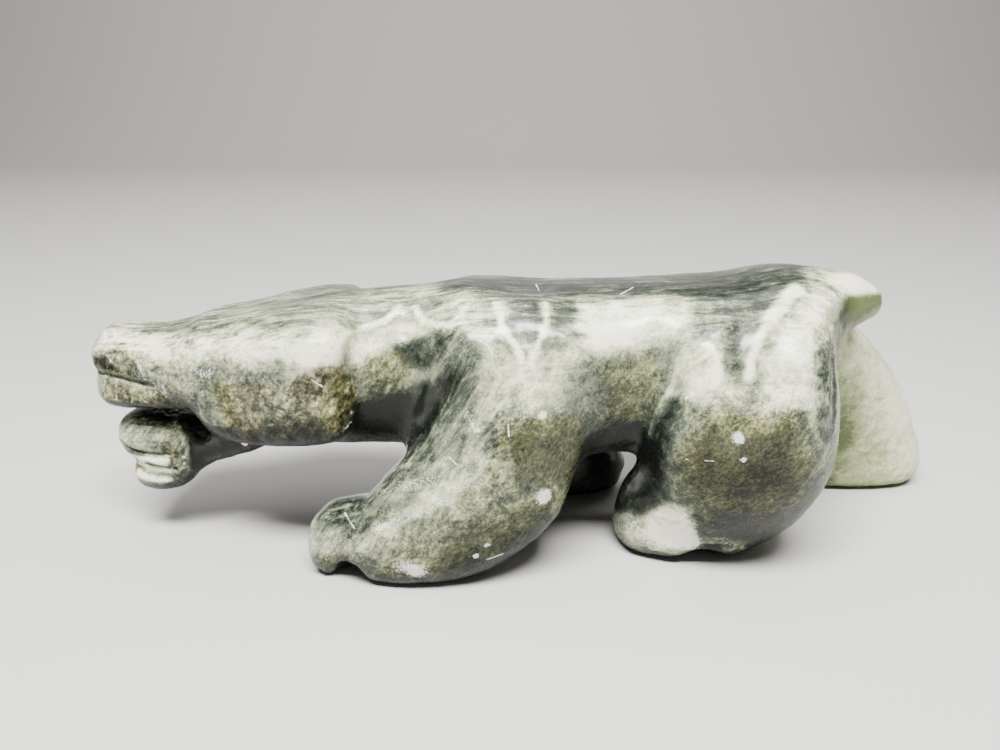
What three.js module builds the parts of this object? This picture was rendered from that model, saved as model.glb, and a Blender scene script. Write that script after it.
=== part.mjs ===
// A walking bear carved from one piece of soapstone, with its head stretched forward, its mouth
// open and its tongue showing. Millimetres, +Z up, nose towards -X, the bear's left side towards -Y.
// The origin is on the floor, under the middle of the bear's bounding box.
import * as THREE from "three";

// Driving dimensions. The pose and the proportions are shares of the length: a place written
// as 10 in a station is 10 mm on a bear that is 347 mm long.
const bearLength = 347;
const share = bearLength / 347;

// Heights above the floor and half widths, each at the lowest, highest or widest place of its form.
const bellyHeight = 38;
const backHeight = 101;
const mouthHeight = 54;
const chinHeight = 18;
const torsoHalfWidth = 37;
const waistHalfWidth = 31;
const neckHalfWidth = 25;
const cheekHalfWidth = 38;
const noseHalfWidth = 16;
const jawHalfWidth = 14;
const legHalfWidth = 17;
const thighHalfWidth = 23;

// The places along the bear where the nose and the lower lip end, and the cheeks behind.
const noseFront = -152;
const lipFront = -146;
const cheekBack = -51;

// How far two forms run into each other where they meet.
const sandedBlend = 10;
const crispBlend = 3;
const grooveBlend = 1.5;

// Each form is a row of stations [x, y, z, half size along x, along y, along z].
// The stone between two stations follows a smooth curve through them.
function section(x, halfLength, halfWidth, bottom, top) {
  return [x, 0, (bottom + top) / 2, halfLength, halfWidth, (top - bottom) / 2];
}

const torso = {
  squareness: 2.8,
  stations: [
    section(-6, 20, torsoHalfWidth - 3, bellyHeight + 2, backHeight - 2),
    section(18, 22, torsoHalfWidth, bellyHeight, backHeight - 1),
    section(48, 22, waistHalfWidth, bellyHeight, backHeight + 0.5),
    section(78, 24, torsoHalfWidth - 1, bellyHeight + 2, backHeight + 1.5),
    section(98, 25, torsoHalfWidth - 4, bellyHeight + 14, backHeight + 3),
  ],
};

const neck = {
  squareness: 2.5,
  stations: [
    section(-62, 16, neckHalfWidth, bellyHeight + 1, backHeight - 4),
    section(-38, 18, neckHalfWidth, bellyHeight + 1, backHeight - 2),
    section(-14, 20, neckHalfWidth + 5, bellyHeight + 1, backHeight - 1),
  ],
};

const muzzle = {
  squareness: 2.6,
  stations: [
    section(noseFront + 5, 5, noseHalfWidth, mouthHeight + 11, backHeight - 16),
    section(-138, 10, noseHalfWidth + 1, mouthHeight + 8, backHeight - 16.5),
    section(-124, 13, noseHalfWidth + 5, mouthHeight + 4, backHeight - 16),
    section(-112, 12, noseHalfWidth + 9, mouthHeight + 2, backHeight - 13.5),
  ],
};

const head = {
  squareness: 4.2,
  stations: [
    section(-99, 12, noseHalfWidth + 12, bellyHeight + 7, backHeight - 12),
    section(-80, 14, cheekHalfWidth - 4, bellyHeight + 5.5, backHeight - 7.5),
    section(cheekBack - 14, 14, cheekHalfWidth, bellyHeight + 8, backHeight - 5),
  ],
};

const lip = {
  squareness: 2.8,
  stations: [
    section(noseFront + 12, 13.5, noseHalfWidth + 0.5, mouthHeight, mouthHeight + 17),
    section(-122, 14, noseHalfWidth + 4, mouthHeight + 0.5, mouthHeight + 18.5),
  ],
};

const jaw = {
  squareness: 2.4,
  stations: [
    section(-90, 14, jawHalfWidth + 1, bellyHeight + 1, mouthHeight + 8),
    section(-104, 10, jawHalfWidth - 2, chinHeight + 14, mouthHeight - 2),
    section(-115, 7, jawHalfWidth - 3, chinHeight + 11, chinHeight + 25),
    section(-125, 7, jawHalfWidth - 2, chinHeight + 5, chinHeight + 22),
    section(lipFront + 12, 12.5, jawHalfWidth, chinHeight - 0.5, chinHeight + 18),
  ],
};

const tongue = {
  squareness: 2.4,
  stations: [
    section(lipFront + 8, 12.5, jawHalfWidth - 1, chinHeight + 13, mouthHeight - 3),
    section(-126, 12, jawHalfWidth - 1, chinHeight + 15, mouthHeight - 4),
  ],
};

const tail = {
  squareness: 2,
  stations: [
    [108, 0, backHeight - 10.5, 19, 22, 16],
    [126, 0, backHeight - 7, 13, 13, 12],
    [138, 0, backHeight - 7, 7.5, 7, 6.5],
  ],
};

const leftForeleg = {
  squareness: 2.2,
  stations: [
    [4, -24, backHeight - 21, 24, legHalfWidth, 16],
    [2, -27, 62, 26, legHalfWidth, 16],
    [-2, -31, 44, 30, legHalfWidth, 16],
    [-12, -34, 28, 34, legHalfWidth, 18],
    [-27, -35, 15, 30, legHalfWidth, 18],
    [-50, -32, 11, 22, legHalfWidth - 2, 17],
  ],
};

const leftHindLeg = {
  squareness: 2.2,
  stations: [
    [86, -22, backHeight - 23, 32, thighHalfWidth - 1, 20],
    [86, -29, 58, 34, thighHalfWidth, 22],
    [87, -27, 40, 33, thighHalfWidth - 1, 21],
    [80, -19, 20, 34, legHalfWidth + 2, 19],
    [73, -17, 9, 29, legHalfWidth + 1, 14],
  ],
};

const rightHindLeg = {
  squareness: 2.4,
  stations: [
    [108, 20, backHeight - 25, 28, legHalfWidth + 3, 22],
    [132, 28, 56, 28, legHalfWidth + 1, 22],
    [150, 36, 34, 30, legHalfWidth, 20],
    [159, 39, 10, 34, legHalfWidth - 1, 14],
  ],
};

const rightForeleg = {
  squareness: 2.2,
  stations: [
    [0, 24, backHeight - 21, 24, legHalfWidth - 1, 16],
    [8, 28, 60, 22, legHalfWidth - 1, 16],
    [18, 31, 38, 22, legHalfWidth - 2, 16],
    [32, 31, 16, 24, legHalfWidth - 2, 15],
    [28, 31, 7, 28, legHalfWidth - 2, 11],
  ],
};

// The gaps between the toes of the two near feet.
const foreToeNotch = {
  squareness: 2,
  stations: [
    [-61, -56, 3, 5, 5, 6],
    [-55, -42, 2, 5, 5, 6],
  ],
};

const hindToeNotch = {
  squareness: 2,
  stations: [
    [78, -46, 1, 8, 6, 7],
    [76, -32, 1, 6, 6, 6],
  ],
};

// The dents above the near shoulder and thigh, between the muscles' ridges.
const shoulderDent = {
  squareness: 2,
  stations: [
    [7, -torsoHalfWidth - 1, backHeight - 3, 8, 7, 6],
    [9, -torsoHalfWidth - 9, backHeight - 21, 7, 7, 9],
  ],
};

const thighDent = {
  squareness: 2,
  stations: [
    [90, -torsoHalfWidth - 4, backHeight - 5, 8, 8, 7],
    [84, -torsoHalfWidth - 16, backHeight - 21, 8, 8, 9],
  ],
};

// The slit round the face under the nose, and the two round the tongue and the lower lip.
function faceSlit(front, halfWidth, height, fall, radius) {
  return {
    squareness: 2,
    stations: [
      [front + 26, -halfWidth - 3, height - fall, radius, radius, radius],
      [front + 7, -halfWidth, height, radius, radius, radius],
      [front, 0, height, radius, radius, radius],
      [front + 7, halfWidth, height, radius, radius, radius],
      [front + 26, halfWidth + 3, height - fall, radius, radius, radius],
    ],
  };
}

const noseSlit = faceSlit(noseFront - 3.5, noseHalfWidth + 1, mouthHeight + 16.5, 3, 2.4);
const tongueSlit = faceSlit(lipFront - 5.5, jawHalfWidth + 1, chinHeight + 18, 6, 2);
const lipSlit = faceSlit(lipFront - 1.5, jawHalfWidth, chinHeight + 12, 6, 2);

// A limb's row of overlapping rounded blocks, each [x, y, z, rx, ry, rz].
const blockGap = 3 * share;
function blocksOf({ stations, squareness }) {
  const scaled = stations.map((station) => station.map((value) => value * share));
  const places = scaled.map(([x, y, z]) => new THREE.Vector3(x, y, z));
  const sizes = scaled.map(([, , , rx, ry, rz]) => new THREE.Vector3(rx, ry, rz));
  const route = new THREE.CatmullRomCurve3(places, false, "centripetal");
  const swelling = new THREE.CatmullRomCurve3(sizes, false, "catmullrom", 0.5);
  const count = Math.max(2, Math.ceil(route.getLength() / blockGap));
  const blocks = [];
  for (let i = 0; i <= count; i += 1) {
    const place = route.getPoint(i / count);
    const size = swelling.getPoint(i / count);
    blocks.push([place.x, place.y, place.z, size.x, size.y, size.z]);
  }
  return { blocks, squareness, bounds: boundsOf(blocks) };
}

function boundsOf(blocks) {
  const bounds = new THREE.Box3();
  for (const [x, y, z, rx, ry, rz] of blocks) {
    bounds.expandByPoint(new THREE.Vector3(x - rx, y - ry, z - rz));
    bounds.expandByPoint(new THREE.Vector3(x + rx, y + ry, z + rz));
  }
  return bounds;
}

// Distance from a point to one rounded block, exact on its surface and close beside it.
function blockDistance(point, [cx, cy, cz, rx, ry, rz], power) {
  const x = Math.abs(point.x - cx) / rx;
  const y = Math.abs(point.y - cy) / ry;
  const z = Math.abs(point.z - cz) / rz;
  const sum = x ** power + y ** power + z ** power;
  const tiny = 1e-9;
  if (sum < tiny) return -Math.min(rx, ry, rz);
  const reach = sum ** (1 / power);
  const slope = Math.hypot(
    x ** (power - 1) / rx,
    y ** (power - 1) / ry,
    z ** (power - 1) / rz,
  );
  return ((reach - 1) * reach ** (power - 1)) / slope;
}

// Distance to a limb. Well clear of the limb, the distance to its bounding box is near enough.
const clearOf = 24 * share;
function limbDistance(limb, point) {
  const outside = limb.bounds.distanceToPoint(point);
  if (outside > clearOf) return outside;
  let nearest = Infinity;
  for (const block of limb.blocks) {
    nearest = Math.min(nearest, blockDistance(point, block, limb.squareness));
  }
  return nearest;
}

// Two forms run into each other over a blend of the given width, as sanding leaves them.
function join(a, b, blend) {
  const overlap = Math.max(blend - Math.abs(a - b), 0) / blend;
  return Math.min(a, b) - (overlap * overlap * blend) / 4;
}

// Takes form b out of form a, and rounds the new edge over the blend.
const carve = (a, b, blend) => -join(-a, b, blend);

const limbsOf = (forms) => Object.fromEntries(
  Object.entries(forms).map(([name, form]) => [name, blocksOf(form)]),
);
const solidLimbs = limbsOf({
  torso,
  neck,
  muzzle,
  head,
  lip,
  jaw,
  tongue,
  tail,
  leftForeleg,
  leftHindLeg,
  rightHindLeg,
  rightForeleg,
});
const carvedLimbs = limbsOf({
  foreToeNotch,
  hindToeNotch,
  shoulderDent,
  thighDent,
  noseSlit,
  tongueSlit,
  lipSlit,
});

// The whole carving as one distance field: negative in the stone, positive in the air.
function stoneAt(point) {
  const to = (name) => limbDistance(solidLimbs[name] ?? carvedLimbs[name], point);
  const soft = sandedBlend * share;
  const crisp = crispBlend * share;
  const groove = grooveBlend * share;
  let stone = join(to("torso"), to("neck"), soft);
  const skull = join(to("muzzle"), to("head"), soft);
  stone = join(stone, skull, crisp);
  stone = join(stone, to("lip"), crisp);
  stone = carve(stone, to("noseSlit"), groove);
  let mouth = join(to("jaw"), to("tongue"), crisp);
  mouth = carve(mouth, to("tongueSlit"), groove);
  mouth = carve(mouth, to("lipSlit"), groove);
  stone = join(stone, mouth, crisp);
  stone = join(stone, to("leftHindLeg"), crisp);
  for (const name of ["tail", "leftForeleg", "rightForeleg", "rightHindLeg"]) {
    stone = join(stone, to(name), soft);
  }
  for (const name of ["foreToeNotch", "hindToeNotch"]) {
    stone = carve(stone, to(name), crisp);
  }
  for (const name of ["shoulderDent", "thighDent"]) {
    stone = carve(stone, to(name), soft);
  }
  return Math.max(stone, -point.z);
}

// Grid lines from a start, one stretch after another, each [end, spacing].
function gridLines(start, stretches) {
  const lines = [start];
  for (const [end, spacing] of stretches) {
    const from = lines[lines.length - 1];
    const count = Math.max(1, Math.round((end - from) / spacing));
    for (let i = 1; i <= count; i += 1) {
      lines.push(from + ((end - from) * i) / count);
    }
  }
  return lines;
}

// The grid reaches past the stone all round. Its lines are closer where the carving is finer:
// along the face and the jaw, and down by the soles.
function gridAround(limbs) {
  const sole = 3;
  const fine = 3.4;
  const medium = 5.3;
  const coarse = 7;
  const room = coarse + 1;
  const box = new THREE.Box3();
  for (const limb of limbs) box.union(limb.bounds);
  box.min.divideScalar(share).subScalar(room);
  box.max.divideScalar(share).addScalar(room);
  const lines = {
    x: gridLines(box.min.x, [[noseFront + 40, fine], [cheekBack + 10, medium], [box.max.x, coarse]]),
    y: gridLines(box.min.y, [[-20, coarse], [20, medium], [box.max.y, coarse]]),
    z: gridLines(-sole, [
      [0, sole],
      [2 * sole, sole],
      [chinHeight, medium],
      [chinHeight + 24, fine],
      [mouthHeight + 8, medium],
      [mouthHeight + 20, fine],
      [box.max.z, medium],
    ]),
  };
  for (const axis of ["x", "y", "z"]) lines[axis] = lines[axis].map((line) => line * share);
  return lines;
}

const grid = gridAround(Object.values(solidLimbs));

// The surface of the field, with one vertex in each grid cell that it crosses and one
// four-sided face around each grid edge that it crosses.
function surfaceOf(field) {
  const { x: xs, y: ys, z: zs } = grid;
  const [nx, ny, nz] = [xs.length, ys.length, zs.length];
  const at = (i, j, k) => (k * ny + j) * nx + i;
  const values = new Float64Array(nx * ny * nz);
  const point = new THREE.Vector3();
  for (let k = 0; k < nz; k += 1) {
    for (let j = 0; j < ny; j += 1) {
      for (let i = 0; i < nx; i += 1) {
        values[at(i, j, k)] = field(point.set(xs[i], ys[j], zs[k]));
      }
    }
  }
  fillPinches(values, nx, ny, nz, at);

  const inside = (i, j, k) => values[at(i, j, k)] < 0;
  const corners = [];
  for (let c = 0; c < 8; c += 1) corners.push([c & 1, (c >> 1) & 1, c >> 2]);
  const edges = [];
  for (let a = 0; a < 8; a += 1) {
    for (const bit of [1, 2, 4]) {
      if (!(a & bit)) edges.push([corners[a], corners[a | bit]]);
    }
  }

  const positions = [];
  const vertexOf = new Map();
  for (let k = 0; k < nz - 1; k += 1) {
    for (let j = 0; j < ny - 1; j += 1) {
      for (let i = 0; i < nx - 1; i += 1) {
        const sum = new THREE.Vector3();
        let crossings = 0;
        for (const [a, b] of edges) {
          const va = values[at(i + a[0], j + a[1], k + a[2])];
          const vb = values[at(i + b[0], j + b[1], k + b[2])];
          if (va < 0 === vb < 0) continue;
          const t = va / (va - vb);
          sum.x += THREE.MathUtils.lerp(xs[i + a[0]], xs[i + b[0]], t);
          sum.y += THREE.MathUtils.lerp(ys[j + a[1]], ys[j + b[1]], t);
          sum.z += THREE.MathUtils.lerp(zs[k + a[2]], zs[k + b[2]], t);
          crossings += 1;
        }
        if (!crossings) continue;
        vertexOf.set(at(i, j, k), positions.length / 3);
        settle(sum.divideScalar(crossings), field);
        positions.push(sum.x, sum.y, sum.z);
      }
    }
  }

  const faces = [];
  const addFace = (a, b, c, d, turned) => {
    const ring = (turned ? [d, c, b, a] : [a, b, c, d]).map((cell) => vertexOf.get(cell));
    faces.push(...splitFace(ring, positions));
  };
  for (let k = 1; k < nz - 1; k += 1) {
    for (let j = 1; j < ny - 1; j += 1) {
      for (let i = 1; i < nx - 1; i += 1) {
        const here = inside(i, j, k);
        if (here !== inside(i + 1, j, k)) {
          addFace(at(i, j - 1, k - 1), at(i, j, k - 1), at(i, j, k), at(i, j - 1, k), !here);
        }
        if (here !== inside(i, j + 1, k)) {
          addFace(at(i - 1, j, k - 1), at(i - 1, j, k), at(i, j, k), at(i, j, k - 1), !here);
        }
        if (here !== inside(i, j, k + 1)) {
          addFace(at(i - 1, j - 1, k), at(i, j - 1, k), at(i, j, k), at(i - 1, j, k), !here);
        }
      }
    }
  }
  return { positions, faces };
}

// Where the stone would touch itself only along one grid edge, the gap between is filled.
function fillPinches(values, nx, ny, nz, at) {
  const pairs = [
    [[1, 0, 0], [0, 1, 0]],
    [[1, 0, 0], [0, 0, 1]],
    [[0, 1, 0], [0, 0, 1]],
  ];
  const justInside = -0.05;
  let filled = true;
  while (filled) {
    filled = false;
    for (let k = 0; k < nz - 1; k += 1) {
      for (let j = 0; j < ny - 1; j += 1) {
        for (let i = 0; i < nx - 1; i += 1) {
          for (const [u, v] of pairs) {
            const a = at(i, j, k);
            const b = at(i + u[0], j + u[1], k + u[2]);
            const c = at(i + v[0], j + v[1], k + v[2]);
            const d = at(i + u[0] + v[0], j + u[1] + v[1], k + u[2] + v[2]);
            const [ia, ib, ic, id] = [a, b, c, d].map((n) => values[n] < 0);
            if (ia !== id || ib !== ic || ia === ib) continue;
            for (const n of [a, b, c, d]) values[n] = Math.min(values[n], justInside);
            filled = true;
          }
        }
      }
    }
  }
}

// Moves a vertex onto the stone's true surface. The soles are flat already and stay so.
function settle(vertex, field) {
  const reach = 0.05;
  const steps = 2;
  const furthest = 1;
  const gentlest = 0.3;
  if (vertex.z < reach) return;
  for (let step = 0; step < steps; step += 1) {
    const value = field(vertex);
    const slope = new THREE.Vector3(
      field(vertex.clone().setX(vertex.x + reach)) - value,
      field(vertex.clone().setY(vertex.y + reach)) - value,
      field(vertex.clone().setZ(vertex.z + reach)) - value,
    ).divideScalar(reach);
    const move = value / Math.max(slope.lengthSq(), gentlest);
    vertex.addScaledVector(slope, -THREE.MathUtils.clamp(move, -furthest, furthest));
  }
  vertex.z = Math.max(vertex.z, 0);
}

// Two triangles from a four-sided face, split along its shorter diagonal.
function splitFace([a, b, c, d], positions) {
  const place = (n) => new THREE.Vector3().fromArray(positions, n * 3);
  const shortAC = place(a).distanceTo(place(c)) <= place(b).distanceTo(place(d));
  return shortAC ? [a, b, c, a, c, d] : [a, b, d, b, c, d];
}

function carvedGeometry() {
  const { positions, faces } = surfaceOf(stoneAt);
  const geometry = new THREE.BufferGeometry();
  geometry.setAttribute("position", new THREE.Float32BufferAttribute(positions, 3));
  geometry.setIndex(faces);
  geometry.computeBoundingBox();
  const centre = geometry.boundingBox.getCenter(new THREE.Vector3());
  geometry.translate(-centre.x, -centre.y, 0);
  geometry.computeVertexNormals();
  return geometry;
}

const soapstone = new THREE.MeshStandardMaterial({
  name: "soapstone",
  color: 0x8b9485,
  roughness: 0.35,
  metalness: 0,
});

const bear = new THREE.Mesh(carvedGeometry(), soapstone);
bear.name = "bear";

const carving = new THREE.Group();
carving.add(bear);

export default carving;
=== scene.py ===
# The soapstone bear: its fine carved surface, its stone, a pale floor, soft light and the camera.
import math

import bpy
import numpy as np
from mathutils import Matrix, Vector, noise
from mathutils.bvhtree import BVHTree


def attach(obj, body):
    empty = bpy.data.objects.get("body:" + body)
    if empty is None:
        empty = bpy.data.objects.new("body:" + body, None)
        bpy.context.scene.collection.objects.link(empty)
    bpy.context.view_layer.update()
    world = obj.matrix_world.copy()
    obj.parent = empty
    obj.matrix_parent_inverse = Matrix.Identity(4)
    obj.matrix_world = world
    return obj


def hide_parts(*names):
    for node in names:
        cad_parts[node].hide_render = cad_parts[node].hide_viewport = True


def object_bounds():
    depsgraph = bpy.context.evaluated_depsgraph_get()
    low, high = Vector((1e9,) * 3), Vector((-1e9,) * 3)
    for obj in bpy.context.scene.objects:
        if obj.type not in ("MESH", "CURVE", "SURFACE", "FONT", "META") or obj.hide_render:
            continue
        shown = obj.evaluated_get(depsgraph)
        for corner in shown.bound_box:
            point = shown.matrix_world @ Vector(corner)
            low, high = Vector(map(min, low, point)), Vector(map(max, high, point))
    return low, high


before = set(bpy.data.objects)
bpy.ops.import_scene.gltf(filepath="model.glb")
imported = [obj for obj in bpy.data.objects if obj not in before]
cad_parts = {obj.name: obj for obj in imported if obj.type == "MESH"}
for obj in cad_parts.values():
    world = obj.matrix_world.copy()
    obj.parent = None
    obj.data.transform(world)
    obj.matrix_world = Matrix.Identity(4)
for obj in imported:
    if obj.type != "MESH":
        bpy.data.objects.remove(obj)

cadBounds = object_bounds()
millimetre = 0.001
tiny = 1e-12  # keeps a stretch without length from dividing by 0


def deselectAll():
    if bpy.context.mode != "OBJECT":
        bpy.ops.object.mode_set(mode="OBJECT")
    bpy.ops.object.select_all(action="DESELECT")


def makeActive(piece):
    deselectAll()
    piece.select_set(True)
    bpy.context.view_layer.objects.active = piece


def addModifier(piece, kind, **settings):
    # adds one modifier, sets it and applies it at once
    modifier = piece.modifiers.new(kind.lower(), kind)
    for name, value in settings.items():
        setattr(modifier, name, value)
    makeActive(piece)
    bpy.ops.object.modifier_apply(modifier=modifier.name)


print("camera")
view = {
    "frameWidth": 1000,  # the picture's frame, in pixels
    "frameHeight": 750,
    "lens": 28.0,  # mm
    "sensor": 36.0,  # mm
    "pitch": math.radians(20),
    "place": (-0.0195, -0.286, 0.168),
    "beyond": 0.2,  # a place past the bear's far side
    "graze": 0.002,  # a hit nearer than this to a point is the point itself
    "plain": 0.25,  # what faces the camera more than this shows in full
    "clipStart": 0.01,
}


def addCamera():
    deselectAll()
    turn = (math.pi / 2 - view["pitch"], 0, 0)
    bpy.ops.object.camera_add(location=view["place"], rotation=turn)
    camera = bpy.context.object
    camera.name = "camera"
    camera.data.lens = view["lens"]
    camera.data.sensor_width = view["sensor"]
    camera.data.clip_start = view["clipStart"]
    bpy.context.scene.camera = camera
    bpy.context.view_layer.update()
    return camera


camera = addCamera()


print("stone: base")
stone = {
    "merge": 0.00001,  # points nearer than this become one
    "quadAngle": math.radians(60),  # triangles that lie flatter than this are paired
    "evening": 3,  # passes that ease the cut faces
    "muzzleEnd": -0.112,  # ahead of this the faces are cut once more
    "soleDepth": 0.35 * millimetre,  # what is lower than this is ground flat
    "turnedAway": -0.25,  # faces that look further off than this stay coarse
    "shelterRays": 64,
    "shelterSlant": 0.1,  # rays flatter to the stone than this don't count
    "shelterGround": -0.15,  # rays that fall steeper than this meet the ground
    "shelterReach": 0.12,  # how far off stone still shelters a spot
    "bendGain": 4,
    "bendScale": 0.01,
    "bendPasses": 4,
    "farShare": 0.7,  # how much of the paint the far side gets
    "farSoft": 2.2,  # how much softer its outlines are
    "farDepth": 0.5,  # how much of a stroke's depth it gets
}


def copyBear():
    # a merged copy of the solid, in quads
    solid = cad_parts["bear"]
    piece = solid.copy()
    piece.data = solid.data.copy()
    piece.name = "carved_bear"
    piece.parent = None
    for key in list(piece.keys()):
        del piece[key]
    bpy.context.scene.collection.objects.link(piece)
    makeActive(piece)
    bpy.context.tool_settings.mesh_select_mode = (False, False, True)
    bpy.ops.object.mode_set(mode="EDIT")
    bpy.ops.mesh.select_all(action="SELECT")
    bpy.ops.mesh.remove_doubles(threshold=stone["merge"])
    angle = stone["quadAngle"]
    bpy.ops.mesh.tris_convert_to_quads(face_threshold=angle, shape_threshold=angle)
    bpy.ops.object.mode_set(mode="OBJECT")
    return piece


def numbersOf(items, name):
    values = np.empty(len(items) * 3)
    items.foreach_get(name, values)
    return values.reshape(-1, 3)


def treeOf(mesh):
    points = numbersOf(mesh.vertices, "co")
    return BVHTree.FromPolygons(points.tolist(), [list(face.vertices) for face in mesh.polygons])


def shelter(piece):
    # how much of what a spot faces is the stone itself or the ground; the stone's colour darkens by it as
    # painted shade
    mesh = piece.data
    tree = treeOf(mesh)
    turn = math.pi * (3 - math.sqrt(5))
    rays = []
    for index in range(stone["shelterRays"]):
        height = 1 - 2 * (index + 0.5) / stone["shelterRays"]
        ring = math.sqrt(1 - height * height)
        rays.append(Vector((ring * math.cos(index * turn), ring * math.sin(index * turn), height)))
    blocked = np.zeros(len(mesh.vertices))
    for vertex in mesh.vertices:
        start = vertex.co + vertex.normal * millimetre
        met = faced = 0.0
        for ray in rays:
            facing = ray.dot(vertex.normal)
            if facing < stone["shelterSlant"]:
                continue
            faced += facing
            grounded = ray.z < stone["shelterGround"]
            if grounded or tree.ray_cast(start, ray, stone["shelterReach"])[0]:
                met += facing
        blocked[vertex.index] = met / faced
    attribute = mesh.attributes.new("sheltered", "FLOAT", "POINT")
    attribute.data.foreach_set("value", blocked.astype(np.float32))


def refine(piece, chosen):
    # cuts the chosen faces in four
    makeActive(piece)
    bpy.ops.object.mode_set(mode="EDIT")
    bpy.ops.mesh.select_all(action="DESELECT")
    bpy.ops.object.mode_set(mode="OBJECT")
    piece.data.polygons.foreach_set("select", chosen)
    bpy.ops.object.mode_set(mode="EDIT")
    bpy.ops.mesh.subdivide(number_cuts=1, smoothness=0)
    bpy.ops.object.mode_set(mode="OBJECT")


def facesCamera(piece):
    centres = numbersOf(piece.data.polygons, "center")
    normals = numbersOf(piece.data.polygons, "normal")
    toward = np.array(view["place"]) - centres
    return (normals * toward).sum(axis=1) > stone["turnedAway"] * np.linalg.norm(toward, axis=1)


bear = copyBear()
shelter(bear)
addModifier(bear, "SUBSURF", levels=1, render_levels=1)
refine(bear, facesCamera(bear))
muzzle = numbersOf(bear.data.polygons, "center")[:, 0] < stone["muzzleEnd"]
refine(bear, muzzle & facesCamera(bear))
addModifier(bear, "SMOOTH", factor=0.5, iterations=stone["evening"])
bear.data.calc_loop_triangles()
print("stone faces", len(bear.data.polygons), "triangles", len(bear.data.loop_triangles))


def surfaceOf(piece):
    # the surface as arrays, which the strokes below press, raise and paint
    mesh = piece.data
    return {
        "points": numbersOf(mesh.vertices, "co"),
        "normals": numbersOf(mesh.vertex_normals, "vector"),
        "edges": np.array([edge.vertices[:] for edge in mesh.edges]),
        "tree": treeOf(mesh),
        "masks": {},
    }


surface = surfaceOf(bear)


def onStone(u, v):
    # the place on the stone that shows at pixel (u, v) of the picture's frame
    focal = view["lens"] / view["sensor"] * view["frameWidth"]
    across = (u - view["frameWidth"] / 2) / focal
    up = (view["frameHeight"] / 2 - v) / focal
    toward = camera.matrix_world.to_3x3() @ Vector((across, up, -1))
    return surface["tree"].ray_cast(camera.location, toward.normalized())[0]


def acrossStone(spot):
    # the place straight across the bear from a spot on its near side
    beyond = Vector((spot[0], view["beyond"], spot[2]))
    return surface["tree"].ray_cast(beyond, Vector((0, -1, 0)))[0]


def pathOf(pixels, far=False):
    spots = [onStone(u, v) for u, v in pixels]
    if far:
        spots = [acrossStone(spot) for spot in spots if spot]
    return [np.array(spot) for spot in spots if spot]


def distanceTo(path):
    # from every point of the surface to a chain of straight stretches
    points = surface["points"]
    nearest = np.full(len(points), np.inf)
    for start, end in zip(path, path[1:] or path):
        along = end - start
        share = np.clip((points - start) @ along / max(along @ along, tiny), 0, 1)
        away = np.linalg.norm(points - start - share[:, None] * along, axis=1)
        nearest = np.minimum(nearest, away)
    return nearest


def reachOf(pixels, radius, sharp, far):
    # 1 on the stroke and 0 at its radius, sharp like a file's cut or soft like a sanded dent
    share = np.clip(distanceTo(pathOf(pixels, far)) / (radius * millimetre), 0, 1)
    return 1 - share if sharp else (1 - share * share) ** 2


def carve(pixels, radius, depth, sharp=False, far=False):
    # radius and depth in mm; a negative depth raises a ridge
    amount = reachOf(pixels, radius, sharp, far) * depth * millimetre
    surface["points"] -= surface["normals"] * amount[:, None]


def paint(name, pixels, radius, amount, far=False):
    masks = surface["masks"]
    if name not in masks:
        masks[name] = np.zeros(len(surface["points"]))
    masks[name] = np.maximum(masks[name], reachOf(pixels, radius, False, far) * amount)


def ease(values, low, high):
    share = np.clip((values - low) / (high - low), 0, 1)
    return share * share * (3 - 2 * share)


def outlook(side):
    # the pixel at which each point shows and how openly, seen by the camera or by its mirror image
    points = surface["points"] * (1, side, 1)
    normals = surface["normals"] * (1, side, 1)
    offset = points - np.array(view["place"])
    local = offset @ np.array(camera.matrix_world.to_3x3())
    focal = view["lens"] / view["sensor"] * view["frameWidth"]
    pixels = np.stack([view["frameWidth"] / 2 - focal * local[:, 0] / local[:, 2],
                       view["frameHeight"] / 2 + focal * local[:, 1] / local[:, 2]], axis=1)
    reach = np.linalg.norm(offset, axis=1)
    facing = -(normals * offset).sum(axis=1) / reach
    eye = Vector(view["place"]) * Vector((1, side, 1))
    hidden = np.zeros(len(points))
    for index in np.nonzero(facing > 0)[0]:
        toward = Vector(surface["points"][index]) - eye
        hit = surface["tree"].ray_cast(eye, toward.normalized())[3]
        hidden[index] = hit is not None and hit < reach[index] - view["graze"]
    return pixels, ease(facing, 0.0, view["plain"]) * (1 - hidden)


def insideOf(pixels, corners, soft):
    # 1 inside an outline of pixels, 0 outside it, and between over the soft width
    inside = np.zeros(len(pixels), dtype=bool)
    nearest = np.full(len(pixels), np.inf)
    for start, end in zip(corners, corners[1:] + corners[:1]):
        start, end = np.array(start, dtype=float), np.array(end, dtype=float)
        along = end - start
        share = np.clip((pixels - start) @ along / (along @ along), 0, 1)
        nearest = np.minimum(nearest, np.linalg.norm(pixels - start - share[:, None] * along, axis=1))
        if along[1]:
            crossing = start[0] + (pixels[:, 1] - start[1]) / along[1] * along[0]
            spans = (pixels[:, 1] < start[1]) != (pixels[:, 1] < end[1])
            inside ^= spans & (pixels[:, 0] < crossing)
    return ease(np.where(inside, nearest, -nearest), -soft, soft)


def fill(corners, soft, amounts):
    # adds a region to its masks, softer and weaker on the far side
    masks = surface["masks"]
    for side, (pixels, shown) in outlooks.items():
        near = side > 0
        cover = insideOf(pixels, corners, soft if near else soft * stone["farSoft"])
        cover = cover * shown * (1 if near else stone["farShare"])
        for name, amount in amounts.items():
            masks[name] = np.maximum(masks.get(name, np.zeros(len(cover))), cover * amount)


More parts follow.
